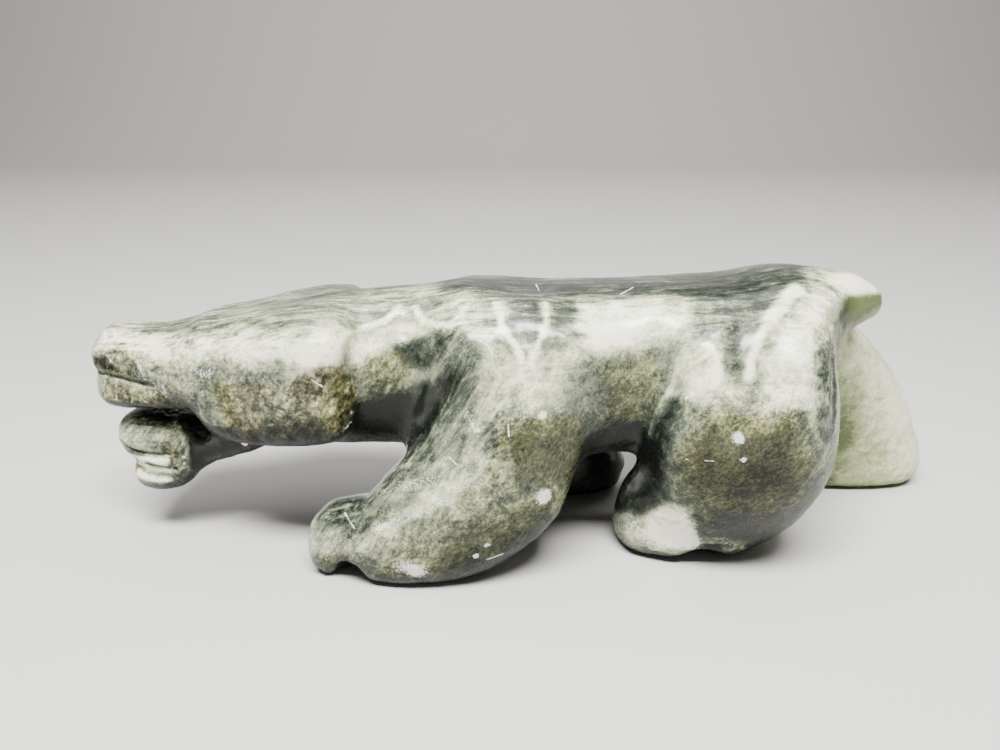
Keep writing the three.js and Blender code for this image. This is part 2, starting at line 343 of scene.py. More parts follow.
def roughen(mask, height, scale, seed):
    # lumps of the given height in mm, scale to the metre, where the mask says
    points = surface["points"]
    shift = Vector([part * seed for part in roughening["seedSpread"]])
    lumps = np.zeros(len(points))
    for index in np.nonzero(mask > roughening["leastMask"])[0]:
        lumps[index] = noise.fractal(Vector(points[index]) * scale + shift, *roughening["layers"])
    surface["points"] += surface["normals"] * (lumps * mask * height * millimetre)[:, None]


def neighbourMean(values):
    edges = surface["edges"]
    first, second = edges[:, 0], edges[:, 1]
    size = len(values)
    total = np.bincount(first, values[second], size) + np.bincount(second, values[first], size)
    return total / (np.bincount(first, minlength=size) + np.bincount(second, minlength=size))


def bendOf(passes):
    # how the surface bends at each point: more than 0 in a crease, less than 0 on a ridge
    points = surface["points"]
    middle = np.stack([neighbourMean(points[:, axis]) for axis in range(3)], axis=1)
    spread = np.linalg.norm(points[surface["edges"][:, 0]] - points[surface["edges"][:, 1]], axis=1)
    size = np.zeros(len(points))
    count = np.zeros(len(points))
    for column in (0, 1):
        np.add.at(size, surface["edges"][:, column], spread)
        np.add.at(count, surface["edges"][:, column], 1)
    rise = ((middle - points) * surface["normals"]).sum(axis=1)
    bend = stone["bendGain"] * rise / (size / count) ** 2
    for _ in range(passes):
        bend = (bend + neighbourMean(bend)) / 2
    return bend * stone["bendScale"]


print("stone: carving")
# pixels along the stroke, radius and depth in mm (less than 0 raises), sharp or soft, both sides
mouthCuts = {
    "slit under the nose": ([(97, 370), (109, 375), (124, 379), (138, 383), (151, 386)], 1.5, 1.8, True,
        True),
    "slit under the tongue": ([(121, 441), (135, 451), (151, 454), (168, 455)], 1.1, 1.3, True, True),
    "ridge between the slits": ([(123, 448), (131, 455), (142, 459), (156, 461), (168, 461)], 1.3, -0.5,
        False, True),
    "slit over the lower lip": ([(133, 461), (146, 464), (156, 467), (176, 470)], 1.3, 1.6, True, True),
    "hollow of the lower lip": ([(139, 470), (148, 474), (162, 477), (174, 475)], 2.5, 0.5, False, True),
    "edge of the jaw": ([(173, 416), (183, 433), (188, 448), (192, 463), (184, 479)], 2.0, -0.5, True,
        False),
    "side of the jaw": ([(198, 430), (205, 446), (203, 460)], 7.0, 1.4, False, False),
    "diagonal on the jaw": ([(177, 471), (191, 464)], 1.2, -0.4, True, False),
    "corner of the nose": ([(98, 331), (108, 326)], 5.0, -0.9, False, False),
}
headCuts = {
    "edge of the neck's first scoop": ([(337, 362), (338, 345), (345, 335), (366, 328), (386, 321),
        (399, 307)], 3.0, -0.45, False, True),
    "first scoop": ([(352, 352), (366, 342), (386, 336), (400, 330)], 8.0, 0.9, False, True),
    "edge of the second scoop": ([(415, 307), (420, 317), (426, 323), (440, 325)], 2.6, -0.4, False,
        True),
    "edge up to the shoulder": ([(444, 327), (452, 325), (461, 316), (466, 305)], 3.0, -0.4, False, True),
    "second scoop": ([(412, 334), (428, 335), (442, 337)], 7.0, 0.7, False, True),
    "edge along the head": ([(196, 353), (233, 350), (278, 349), (318, 349)], 7.0, -0.5, False, True),
    "edge of the muzzle's top": ([(104, 332), (128, 332), (160, 335), (200, 338)], 4.0, -0.35, False,
        False),
}
bodyCuts = {
    "shoulder's front ridge": ([(501, 304), (503, 320), (507, 331), (516, 342), (522, 360)], 4.0, -0.5,
        False, False),
    "shoulder's back ridge": ([(546, 304), (548, 320), (545, 339), (535, 356), (534, 369)], 4.0, -0.5,
        False, False),
    "scoop between them": ([(525, 303), (526, 320), (527, 335)], 8.0, 0.15, False, True),
    "scoop ahead of the shoulder": ([(482, 310), (484, 325)], 9.0, 0.25, False, True),
    "foreleg's front edge": ([(468, 362), (452, 398), (432, 438), (404, 468), (368, 490)], 4.0, -0.6,
        False, False),
    "foreleg's front face": ([(452, 368), (440, 395), (422, 430), (396, 460)], 6.0, 1.0, False, False),
    "hollow ahead of the thigh": ([(662, 342), (648, 372), (636, 405)], 11.0, 0.8, False, False),
    "thigh's front edge": ([(684, 352), (671, 388), (660, 408), (651, 433), (640, 465)], 2.6, -0.5, False,
        False),
    "thigh's knob": ([(684, 360), (692, 349), (705, 346), (716, 355), (718, 373), (714, 384)], 5.0, -0.5,
        False, True),
    "valley behind the knob": ([(746, 312), (738, 336), (732, 362), (728, 388)], 10.0, 0.8, False, True),
    "rump's ridge": ([(795, 290), (784, 303), (770, 320), (758, 336), (751, 355), (749, 375)], 6.0, -0.9,
        False, False),
    "rump's back crease": ([(832, 346), (834, 372), (834, 400), (833, 430)], 2.2, 0.7, False, False),
    "root of the tail": ([(834, 316), (842, 330), (838, 344)], 6.0, 0.9, False, False),
    "chip on the paw": ([(463, 541), (478, 547), (490, 550)], 2.2, 0.8, True, False),
    "chip over it": ([(465, 537), (478, 538)], 1.6, 0.6, True, False),
    "notch of the hind paw": ([(693, 554), (706, 547), (722, 549)], 3.0, 1.2, False, False),
}
roughening = {
    "waves": (0.35, 55, 2),  # height in mm, scale to the metre, seed
    "crust": (0.9, 330, 5),
    "crustDepth": 0.45,
    "crustSpan": (0.45, 0.8),  # where the mask starts to sink and is sunk in full
    "leastMask": 0.01,
    "seedSpread": (1, 3.1, 1.7),
    "layers": (0.7, 2.1, 4),  # how fast they fade, how much finer each is, how many
}
for cuts in (headCuts, bodyCuts, mouthCuts):
    for pixels, radius, depth, sharp, both in cuts.values():
        carve(pixels, radius, depth, sharp)
        if both:
            carve(pixels, radius, depth * stone["farDepth"], sharp, far=True)
# the file's marks on the upper lip: top pixel, length in pixels, depth in mm
lipMarks = {
    "first": ((108, 380), 13, 0.5),
    "second": ((121, 381), 19, 0.35),
    "third": ((126, 383), 15, 0.45),
    "fourth": ((137, 386), 17, 0.5),
    "fifth": ((148, 389), 13, 0.4),
    "sixth": ((153, 391), 19, 0.5),
}
markRadius = 1.0  # mm
markLean = 2  # pixels
for (u, v), length, depth in lipMarks.values():
    mark = [(u, v), (u + markLean, v + length)]
    carve(mark, markRadius, depth, sharp=True)
    carve(mark, markRadius, depth, sharp=True, far=True)


print("stone: paint")
# outlines in pixels, the width of their soft edge in pixels, and how much of each mask they hold
# the dark and light masks hold the stone's own darker and paler patches, and also painted shade and painted
# highlights, marked below
regions = {
    "cheek": ([(212, 386), (240, 378), (296, 380), (322, 366), (343, 366), (352, 378), (359, 394),
        (357, 412), (347, 432), (330, 441), (300, 445), (250, 448), (234, 440), (222, 420)], 9,
        {"crust": 0.68, "mottle": 1.0, "facet": 0.6}),
    "torn top of the cheek": ([(290, 384), (320, 365), (343, 365), (349, 378), (340, 392), (318, 399),
        (294, 399)], 6, {"crust": 0.9, "dark": 0.42}),
    "green edge of the cheek": ([(332, 378), (349, 374), (359, 394), (355, 414), (343, 433), (326, 436),
        (320, 410)], 6, {"crust": 0.9, "moss": 0.75}),
    "streak on the cheek": ([(208, 382), (230, 382), (240, 418), (238, 440), (224, 432)], 8,
        {"crust": 0.8, "moss": 0.8}),
    "streak beside it": ([(238, 388), (262, 384), (264, 410), (256, 442), (242, 436)], 8,
        {"crust": 0.7, "dark": 0.1}),
    "under the cheek": ([(255, 424), (320, 420), (330, 436), (300, 446), (250, 448)], 9,
        {"dark": 0.3, "crust": 0.6}),
    "haze on the cheek": ([(262, 384), (290, 382), (296, 404), (276, 414), (262, 404)], 7,
        {"light": 0.3}),
    "crust on the neck": ([(390, 342), (424, 334), (446, 336), (444, 358), (424, 370), (398, 362)], 9,
        {"crust": 0.55, "dark": 0.95, "facet": 0.5}),
    "ahead of the leg": ([(430, 352), (444, 330), (478, 332), (484, 356), (470, 400), (452, 392),
        (440, 380)], 8, {"dark": 0.42, "facet": 0.8}),
    "olive neck": ([(356, 362), (400, 348), (414, 372), (402, 396), (364, 398)], 8,
        {"mottle": 0.9, "moss": 0.2, "crust": 0.3, "dark": 0.2, "facet": 0.8}),
    "nose": ([(103, 347), (124, 349), (142, 364), (142, 379), (118, 376), (97, 369), (95, 356)], 5,
        {"crust": 0.68, "mottle": 1.0}),
    "under the nose": ([(93, 356), (104, 358), (118, 372), (104, 370), (94, 364)], 2.5, {"dark": 0.9}),
    "upper lip": ([(103, 381), (150, 388), (182, 402), (192, 421), (170, 417), (150, 405), (104, 400)], 3,
        {"crust": 0.58, "mottle": 1.0, "moss": 0.3}),
    "corner of the mouth": ([(168, 402), (190, 416), (212, 440), (198, 438), (178, 426)], 3,
        {"crust": 0.6}),
    "lower lip's corner": ([(158, 440), (172, 446), (186, 462), (180, 474), (164, 464)], 3,
        {"crust": 0.65, "mottle": 1.0}),
    # painted shade on the jaw's side, under the head
    "jaw's side": ([(191, 422), (228, 430), (246, 448), (228, 464), (200, 474), (190, 464)], 4,
        {"dark": 1.25}),
    # painted shade on the neck's side, darker towards the bottom
    "neck's side": ([(358, 404), (420, 386), (446, 374), (456, 376), (432, 430), (412, 450), (360, 450)],
        11, {"dark": 1.35}),
    "leg's front face": ([(446, 364), (468, 372), (452, 412), (428, 454), (402, 482), (388, 478),
        (412, 440), (428, 405)], 6, {"dark": 0.7, "moss": 0.4, "facet": 1.0}),
    "beside it": ([(466, 380), (486, 384), (456, 440), (420, 478), (400, 486), (428, 454), (452, 412)], 7,
        {"dark": 0.22, "facet": 1.0}),
    "paw's back": ([(398, 470), (410, 476), (380, 505), (340, 530), (314, 532), (318, 510), (350, 492)],
        8, {"facet": 1.0, "dark": 0.5}),
    "front of the paw": ([(312, 520), (330, 512), (344, 540), (340, 572), (322, 572), (310, 552)], 7,
        {"light": 0.4}),
    "tongue's shade": ([(124, 424), (150, 414), (166, 420), (150, 434), (128, 440)], 4, {"dark": 0.3}),
    "paw's side": ([(318, 530), (380, 510), (430, 520), (420, 560), (360, 575), (320, 560)], 10,
        {"mottle": 0.6, "dark": 0.15, "facet": 0.5}),
    "toe": ([(318, 556), (340, 552), (345, 570), (326, 572)], 4,
        {"moss": 0.8, "light": 0.3, "mottle": 0.8}),
    "foreleg": ([(500, 412), (588, 415), (588, 470), (565, 512), (520, 548), (440, 580), (360, 580),
        (400, 540), (480, 480)], 12, {"mottle": 1.0}),
    "brown on the leg": ([(506, 436), (576, 412), (584, 446), (562, 484), (520, 482)], 18,
        {"dark": 0.62, "moss": 0.4}),
    "brown lower down": ([(430, 560), (466, 522), (520, 512), (566, 484), (552, 522), (500, 554),
        (450, 578)], 12, {"dark": 0.42, "moss": 0.3}),
    "green flank": ([(596, 366), (650, 352), (664, 376), (652, 426), (598, 440)], 20,
        {"mottle": 0.8, "moss": 0.45, "dark": 0.2}),
    "thigh": ([(690, 402), (800, 392), (828, 440), (816, 504), (760, 545), (700, 525), (668, 470)], 22,
        {"mottle": 1.0}),
    "brown on the thigh": ([(686, 444), (726, 424), (790, 428), (804, 462), (790, 494), (740, 502),
        (692, 482)], 24, {"dark": 0.72, "moss": 0.6}),
    "behind the hind paw": ([(790, 500), (824, 460), (830, 500), (800, 530), (740, 548), (740, 520)], 10,
        {"dark": 0.25, "light": 0.2}),
    "thigh's front": ([(664, 398), (684, 400), (673, 440), (657, 480), (637, 470), (652, 430)], 7,
        {"dark": 0.7, "facet": 1.0}),
    "hind paw's band": ([(606, 478), (662, 472), (670, 500), (640, 513), (610, 510)], 6, {"dark": 0.9}),
    "thigh's rear": ([(812, 344), (833, 340), (837, 400), (834, 446), (820, 440)], 5,
        {"dark": 0.5, "facet": 1.0}),
    # painted shade under the belly
    "under the belly": ([(580, 440), (640, 420), (650, 450), (580, 475)], 8, {"dark": 1.0}),
    "under the tail": ([(846, 296), (884, 292), (884, 306), (850, 322), (836, 336)], 5,
        {"dark": 1.5, "moss": 0.9, "mottle": 0.8}),
    "head": ([(98, 332), (200, 352), (300, 362), (240, 400), (190, 420), (104, 402)], 8,
        {"mottle": 0.55}),
    # painted highlight along the head's upper side, with the stone's hairline streaks
    "head's upper side": ([(100, 329), (180, 337), (338, 336), (342, 364), (312, 370), (240, 366),
        (150, 360), (104, 342)], 11, {"light": 1.0, "hairs": 1.0}),
    # painted highlight below the neck's ledge, with hairline streaks
    "neck's painted highlight": ([(343, 338), (400, 322), (432, 326), (430, 336), (398, 344), (376, 356), (352, 364)],
        7, {"light": 0.75, "hairs": 0.5}),
    # painted highlights over the shoulder, with hairline streaks
    "shoulder": ([(496, 304), (520, 360), (560, 350), (600, 310), (592, 350), (570, 384), (500, 392),
        (488, 350)], 12, {"light": 0.62, "hairs": 0.6}),
    "upper shoulder": ([(452, 300), (490, 300), (500, 330), (486, 342), (456, 326)], 6,
        {"light": 0.5, "hairs": 1.0}),
    "shoulder's hollow": ([(508, 298), (542, 298), (541, 322), (512, 322)], 6,
        {"dark": 0.4, "hairs": 1.0}),
    "ahead of the shoulder": ([(466, 306), (496, 304), (498, 328), (480, 332), (466, 322)], 5,
        {"dark": 0.22}),
    "behind the flank": ([(690, 300), (768, 304), (744, 345), (740, 400), (724, 380), (722, 350),
        (690, 340)], 6, {"dark": 0.12, "facet": 0.6}),
    # faint painted highlight on the middle of the leg
    "mid leg": ([(490, 380), (550, 380), (530, 420), (470, 480), (430, 510), (420, 490), (455, 440)], 12,
        {"light": 0.16, "facet": 0.9}),
    # painted highlights on the flank's band, the thigh's top, the knob, the rump and the top of the tail;
    # on the tail they lie over its paler stone
    "flank's band": ([(580, 304), (684, 302), (694, 334), (620, 350), (580, 350)], 13, {"light": 1.35}),
    "thigh's top": ([(682, 345), (722, 345), (744, 395), (690, 398)], 14, {"light": 0.6}),
    "knob": ([(686, 356), (700, 345), (716, 350), (720, 374), (712, 386), (702, 374), (690, 374)], 6,
        {"light": 1.0}),
    "rump": ([(796, 300), (828, 294), (826, 330), (818, 400), (766, 408), (762, 362)], 18,
        {"light": 1.3}),
    "tail": ([(820, 271), (874, 273), (886, 292), (840, 297)], 5, {"light": 1.1}),
    "far leg's front": ([(834, 372), (858, 366), (862, 396), (850, 446), (834, 470)], 9,
        {"dark": 0.3, "mottle": 0.5}),
    "far leg": ([(862, 340), (900, 380), (918, 440), (920, 476), (860, 484), (850, 450), (866, 400)], 8,
        {"light": 0.4, "mottle": 0.3}),
    "tongue": ([(122, 420), (140, 412), (166, 412), (186, 430), (190, 456), (168, 452), (140, 446),
        (122, 440)], 3, {"facet": 1.0}),
    "white of the hind paw": ([(646, 520), (664, 504), (690, 512), (697, 540), (690, 550), (662, 550),
        (644, 538)], 8, {"light": 1.5}),
    "rim of its notch": ([(698, 546), (704, 537), (722, 537), (746, 541), (744, 551), (724, 553),
        (716, 546)], 4, {"light": 0.9, "mottle": 0.9}),
    # painted dark reflection along the top of the back, with the stone's hairline streaks
    "dark back": ([(440, 268), (700, 268), (800, 264), (806, 282), (740, 300), (600, 294), (440, 292)], 7,
        {"dark": 0.7, "hairs": 0.8}),
}
print("stone: outlines")
outlooks = {1: outlook(1), -1: outlook(-1)}
for corners, soft, amounts in regions.values():
    fill(corners, soft, amounts)
# thin strokes: pixels along each, radius in mm, amount, both sides
paintwork = {
    # painted highlights along the scoops' edges, the shoulder's and rump's ridges, the knob, the leg's and
    # thigh's edges, the rear edge, the lips and the tongue
    "light": {
        "edge of the neck's first scoop": ([(337, 362), (338, 345), (345, 335), (366, 328), (386, 321),
            (399, 307)], 1.5, 1.35, True),
        "edge of the second scoop": ([(415, 307), (420, 317), (426, 323), (440, 325), (452, 325),
            (461, 316), (466, 305)], 1.5, 1.25, True),
        "front streak on the shoulder": ([(497, 303), (500, 320), (506, 334), (516, 346), (521, 358)],
            1.9, 2.2, False),
        "back streak on the shoulder": ([(543, 304), (546, 320), (542, 336), (534, 350), (533, 366)], 1.7,
            2.1, False),
        "knob": ([(706, 347), (716, 356), (718, 373), (714, 384)], 2.6, 1.5, True),
        "upper streak on the rump": ([(795, 290), (784, 303), (770, 320)], 4.2, 1.9, False),
        "lower streak on the rump": ([(770, 320), (758, 340), (750, 362), (748, 378)], 2.4, 1.7, False),
        "ridge of the foreleg": ([(360, 548), (396, 524), (436, 502), (474, 474)], 4, 0.5, False),
        "thigh's front edge": ([(671, 389), (660, 408), (651, 433), (639, 465)], 1.2, 0.9, False),
        "rear edge": ([(836, 345), (837, 380), (836, 425)], 1.3, 0.8, False),
        "lower lip": ([(137, 473), (150, 478), (168, 480)], 2.4, 1.3, True),
        "ridge under the tongue": ([(122, 446), (130, 454), (142, 459), (156, 461), (166, 461)], 2.0, 1.9,
            True),
        # these two are the stone's own pale scuff and cream rim
        "hind paw": ([(640, 540), (665, 535), (690, 540)], 10, 0.8, False),
        "rim of the notch": ([(725, 550), (742, 544)], 4, 0.9, False),
        "top of the tongue": ([(135, 418), (152, 420)], 6, 0.4, True),
    },
    "scuff": {
        "middle of the hind paw": ([(668, 532), (684, 530), (690, 544)], 8, 0.8, False),
        "toes of the hind paw": ([(632, 524), (646, 536), (656, 548)], 7, 0.5, False),
        "side of the front paw": ([(404, 566), (420, 572)], 7, 0.6, False),
        "dot on the front paw": ([(378, 528), (387, 525)], 2.4, 0.7, False),
        "below the leg's front face": ([(400, 488), (415, 484), (432, 480)], 7, 0.42, False),
        "along the paw": ([(384, 526), (420, 512), (450, 498)], 5, 0.42, False),
        "middle of the leg": ([(466, 416), (478, 428)], 5, 0.4, False),
        "corner of the nose": ([(137, 362), (142, 372), (146, 383)], 2.6, 0.5, False),
        "tip of the nose": ([(107, 355), (110, 361)], 2.2, 0.5, False),
        "behind the lip": ([(163, 387), (166, 397)], 2.2, 0.5, False),
        "first mark on the lip": ([(104, 381), (104, 395)], 1.2, 0.5, False),
        "second mark on the lip": ([(116, 379), (117, 400)], 1.3, 0.5, True),
        "third mark on the lip": ([(130, 383), (132, 402)], 1.3, 0.5, True),
        "fourth mark on the lip": ([(144, 387), (146, 402)], 1.3, 0.5, True),
        "fifth mark on the lip": ([(156, 392), (163, 411)], 1.5, 0.6, True),
        "side of the muzzle": ([(192, 369), (206, 376), (210, 372)], 3.2, 0.5, False),
        "front of the paw": ([(322, 542), (330, 560)], 5, 0.4, False),
        "elbow": ([(520, 410), (540, 402)], 5, 0.35, False),
        "back of the cheek": ([(344, 430), (352, 422)], 1.5, 0.6, False),
    },
    "crust": {
        "spot on the lower lip": ([(136, 466), (143, 470)], 2.6, 0.95, False),
        "lower lip's corner": ([(168, 446), (178, 458), (172, 466)], 3.2, 0.8, False),
    },
    "dark": {
        "leg's front face": ([(474, 350), (456, 392), (432, 436), (402, 470), (352, 500), (320, 516)],
            3.5, 0.7, False),
        # painted shade in the paw's crease
        "paw's crease": ([(352, 532), (400, 504), (440, 474)], 4, 0.35, False),
    },
}
for name, strokes in paintwork.items():
    for pixels, radius, amount, both in strokes.values():
        paint(name, pixels, radius, amount)
        if both:
            paint(name, pixels, radius, amount * stone["farShare"], far=True)


# where each mask starts and is full: along an axis in metres, or by the normal's own height
borders = {
    "far leg, x": (0.086, 0.12),
    "far leg, y": (-0.012, 0.006),
    "tail, x": (0.098, 0.112),
    "tail, z": (0.078, 0.09),
    "top": (0.45, 0.85),
    "above": (-0.15, 0.4),
    "beneath": (-0.05, 0.65),
}


def paintPale():
    # the tail and the far hind leg are of a paler stone
    x, y, z = surface["points"].T
    leg = ease(x, *borders["far leg, x"]) * ease(y, *borders["far leg, y"])
    return np.maximum(leg, ease(x, *borders["tail, x"]) * ease(z, *borders["tail, z"]))


surface["masks"]["pale"] = paintPale()
surface["masks"]["top"] = ease(surface["normals"][:, 2], *borders["top"])
surface["masks"]["above"] = ease(surface["normals"][:, 2], *borders["above"])
# painted shade: the colour darkens on faces that turn down
surface["masks"]["beneath"] = ease(-surface["normals"][:, 2], *borders["beneath"])


def writeBack(piece):
    points = surface["points"]
    points[:, 2] = np.where(points[:, 2] < stone["soleDepth"], 0, points[:, 2])
    low, high = (np.array(corner) for corner in cadBounds)
    np.clip(points, low, high, out=points)
    piece.data.vertices.foreach_set("co", points.ravel())
    for name, mask in surface["masks"].items():
        attribute = piece.data.attributes.new(name, "FLOAT", "POINT")
        attribute.data.foreach_set("value", mask.astype(np.float32))
    piece.data.update()
    makeActive(piece)
    bpy.ops.object.shade_smooth()


crustMask = surface["masks"]["crust"]
roughen(np.ones(len(surface["points"])), *roughening["waves"])
roughen(crustMask, *roughening["crust"])
sunk = ease(crustMask, *roughening["crustSpan"]) * roughening["crustDepth"] * millimetre
surface["points"] -= surface["normals"] * sunk[:, None]
surface["masks"]["bend"] = np.clip(bendOf(stone["bendPasses"]), -1, 1)
writeBack(bear)


print("stone: finish")


class Value:
    # a number in the shader; an expression on values adds its Math nodes
    def __init__(self, recipe, socket):
        self.recipe = recipe
        self.socket = socket

    def maths(self, operation, first, second):
        socket = self.recipe.node("ShaderNodeMath", {"operation": operation}, {0: first, 1: second})
        return Value(self.recipe, socket)

    def __add__(self, other):
        return self.maths("ADD", self, other)

    def __radd__(self, other):
        return self.maths("ADD", other, self)

    def __sub__(self, other):
        return self.maths("SUBTRACT", self, other)

    def __rsub__(self, other):
        return self.maths("SUBTRACT", other, self)

    def __mul__(self, other):
        return self.maths("MULTIPLY", self, other)

    def __rmul__(self, other):
        return self.maths("MULTIPLY", other, self)


class Recipe:
    # one material's nodes
    def __init__(self, name):
        self.material = bpy.data.materials.new(name)
        self.material.use_nodes = True
        self.tree = self.material.node_tree
        self.shader = self.tree.nodes["Principled BSDF"]

    def node(self, kind, settings, sockets, output=0):
        made = self.tree.nodes.new(kind)
        for name, value in settings.items():
            if name == "stops":
                self.setStops(made.color_ramp, value)
            else:
                setattr(made, name, value)
        for name, value in sockets.items():
            self.feed(made.inputs[name], value)
        return made.outputs[output]

    def setStops(self, ramp, stops):
        while len(ramp.elements) < len(stops):
            ramp.elements.new(0.5)  # every stop's place is set below
        for element, (place, shade) in zip(ramp.elements, stops):
            element.position = place
            element.color = shade

    def feed(self, socket, value):
        if isinstance(value, Value):
            self.tree.links.new(value.socket, socket)
        elif isinstance(value, bpy.types.NodeSocket):
            self.tree.links.new(value, socket)
        else:
            socket.default_value = value

    def value(self, *made):
        return Value(self, self.node(*made))

    def attribute(self, name):
        return self.value("ShaderNodeAttribute", {"attribute_name": name}, {}, 2)

    def clouds(self, place, name):
        # a pattern of soft noise, drawn out to about -1 to 1
        scale, detail, roughness, distortion = patterns[name]
        sockets = {"Vector": place, "Scale": scale, "Detail": detail}
        sockets.update({"Roughness": roughness, "Distortion": distortion})
        return (self.value("ShaderNodeTexNoise", {}, sockets) - 0.5) * 4

    def stretched(self, place, degrees, stretch):
        # leans a pattern and draws it out along its own axes
        sockets = {"Vector": place, "Rotation": (0, math.radians(degrees), 0), "Scale": stretch}
        return self.node("ShaderNodeMapping", {"vector_type": "TEXTURE"}, sockets)

    def step(self, value, low, high):
        # 0 below low, 1 above high, smooth between
        sockets = {"Value": value, "From Min": low, "From Max": high}
        return self.value("ShaderNodeMapRange", {"interpolation_type": "SMOOTHSTEP"}, sockets)

    def vector(self, operation, first, second, output=0):
        return self.node("ShaderNodeVectorMath", {"operation": operation}, {0: first, 1: second}, output)

    def gap(self, first, second):
        return Value(self, self.vector("DISTANCE", first, second, 1))

    def distance(self, place, start, end):
        # from each place to a straight stretch
        along = end - start
        offset = self.vector("SUBTRACT", place, tuple(start))
        reach = self.vector("DOT_PRODUCT", offset, tuple(along / along.dot(along)), 1)
        share = self.node("ShaderNodeMath", {"operation": "ADD", "use_clamp": True}, {0: reach, 1: 0.0})
        nearest = self.node("ShaderNodeVectorMath", {"operation": "SCALE"}, {0: tuple(along), 3: share})
        return self.gap(offset, nearest)

    def mix(self, factor, first, second):
        sockets = {0: factor, 6: first, 7: second}
        return self.node("ShaderNodeMix", {"data_type": "RGBA"}, sockets, 2)

    def ramp(self, value, stops):
        return self.node("ShaderNodeValToRGB", {"stops": stops}, {0: value})


def color(red, green, blue):
    # a colour as a paint program gives it, 0 to 255, made linear
    def linear(part):
        part /= 255
        return part / 12.92 if part <= 0.04045 else ((part + 0.055) / 1.055) ** 2.4
    return (linear(red), linear(green), linear(blue), 1)


ramps = {
    "stone": [(0.0, color(16, 20, 16)), (0.3, color(62, 70, 58)), (0.52, color(128, 134, 110)),
              (0.75, color(200, 202, 170)), (1.0, color(255, 253, 228))],
    "olive": [(0.0, color(22, 23, 13)), (0.35, color(80, 83, 54)), (0.6, color(142, 142, 103)),
              (1.0, color(236, 231, 192))],
    "crust": [(0.0, color(18, 17, 11)), (0.35, color(78, 75, 55)), (0.6, color(138, 132, 100)),
              (1.0, color(232, 226, 196))],
    "moss": [(0.0, color(26, 28, 13)), (0.35, color(88, 89, 52)), (0.6, color(146, 143, 94)),
             (1.0, color(226, 220, 172))],
    "pale": [(0.0, color(96, 106, 66)), (0.45, color(182, 190, 142)), (0.62, color(216, 218, 178)),
             (1.0, color(250, 248, 220))],
}
# the noise: scale to the metre, detail, roughness, distortion
patterns = {
    "broad": (30, 3, 0.5, 0.5),
    "blotch": (110, 6, 0.68, 1.2),
    "grain": (260, 6, 0.75, 0.8),
    "grit": (620, 5, 0.75, 0.0),
    "fleck": (900, 3, 0.7, 0.0),
    "dust": (1700, 2, 0.6, 0.0),
    "streaks": (330, 6, 0.68, 0.5),
    "facetStreaks": (480, 6, 0.7, 0.3),
    "hairlines": (900, 4, 0.7, 0.0),
    "rust": (210, 3, 0.6, 0.0),
    "pits": (520, 5, 0.8, 0.0),
}
# how far a pattern leans, in degrees, and how far it is drawn out along x, y and z
leans = {
    "along": (-3, (6, 1, 1)),
    "down": (30, (1, 1, 6)),
    "grain": (42, (1, 1, 2.2)),
}
# how much each pattern and mask moves the tone, which is dark at 0 and light at 1
tones = {
    "middle": 0.5,
    "plain": 0.4,  # strength of the grain on plain stone
    "mottled": 0.75,  # what mottled stone adds to it
    "broad": 0.12,
    "blotch": 0.26,
    "grain": 0.12,
    "grit": 0.16,
    "fleck": 0.16,
    "dust": 0.08,
    "topStreaks": 0.34,
    "sideStreaks": 0.1,
    "facetStreaks": 0.3,
    "hairlines": 0.16,
    "hairStreaks": 0.1,
    "dark": 0.42,
    "darkBlotch": 0.8,  # how far the grain breaks up the dark patches
    "darkGrain": 0.5,
    "light": 0.32,
    "lightBroad": 0.2,  # and the light ones
    "lightBlotch": 0.3,
    "lightGrit": 0.2,
    "mottle": 0.06,
    # painted shade in spots that the stone or the ground closes in
    "sheltered": 0.34,
    "ridge": 0.1,
    # painted shade on faces that turn down
    "beneath": 0.26,
    "contrast": 1.14,
    "darken": 0.085,
}
# where each effect starts and is full
spans = {
    "ridge": (0.25, 0.9),
    "sheltered": (0.35, 0.95),
    "olive": (0.2, 0.95),
    "rust": (1.1, 1.6),
    "torn": (0.45, 0.9),
    "dusty": (0.4, 0.62),
    "chip": (0.6, 1.0),  # of its radius
    "scratch": (0.35, 0.7),  # of its width
}
# shares of each layer; lift is how much lighter its tone is, cover how much it hides
finish = {
    "olive": {"mottle": 0.6, "moss": 0.6, "blotch": 0.3, "grain": 0.2, "broad": 0.2, "lift": 0.02,
              "cover": 0.9},
    "rust": {"mottle": 0.5, "cover": 0.3, "color": color(132, 88, 56)},
    "torn": {"blotch": 0.2, "grain": 0.3, "grit": 0.18, "cover": 0.9},
    "crust": {"lift": 0.03, "pits": 0.3, "grain": 0.12},
    "moss": {"lift": 0.08, "pits": 0.26, "grain": 0.12, "cover": 0.75},
    "pale": {"light": 0.1, "blotch": 0.08, "grain": 0.06},
    "scuff": {"dust": 0.28, "grit": 0.12, "cover": 0.8, "fleck": 0.2, "color": color(250, 248, 238)},
    "chip": {"grain": 0.22, "dust": 0.3, "fleck": 0.25},
    "scratch": {"grit": 0.3},
    "roughness": {"bare": 0.27, "torn": 0.35, "dusty": 0.35, "grit": 0.03, "pale": 0.08},
    "bump": {"grit": 0.35, "streaks": 0.2, "pits": 0.9, "dusty": 0.3, "distance": 0.00025, "strength": 0.6},
    "coat": {"bare": 0.85, "torn": 0.6, "dusty": 0.25, "roughness": 0.2},
    "specular": 0.2,
}
